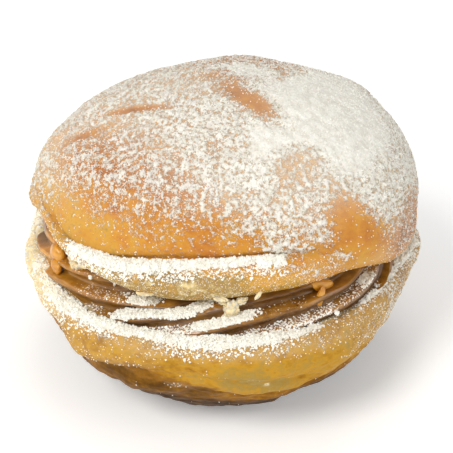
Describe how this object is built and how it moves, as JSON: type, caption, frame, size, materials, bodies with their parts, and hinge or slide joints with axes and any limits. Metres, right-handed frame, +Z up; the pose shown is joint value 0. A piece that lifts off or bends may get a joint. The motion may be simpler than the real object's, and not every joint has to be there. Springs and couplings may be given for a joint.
{
  "type": "filled doughnut",
  "caption": "Round fried doughnut cut across, spread with a thick caramel filling in stepped ridges, closed with its domed top and dusted with icing sugar",
  "frame": {"origin": "under the middle of the whole doughnut, on the surface it rests on", "axes": "+Z up; -Y is the front, where the upper half stands open and the filling shows most; +X to the right seen from the front"},
  "size_m": [0.0938, 0.0926, 0.0698],
  "materials": {
    "lower_dough": "matte golden fried dough under patchy icing sugar",
    "caramel": "soft gloss brown caramel, dusted on its ridges",
    "upper_dough": "matte golden fried dough under thick icing sugar"
  },
  "bodies": {
    "root": {"lower_half": "lower_dough", "filling": "caramel", "upper_half": "upper_dough"}
  },
  "joints": []
}
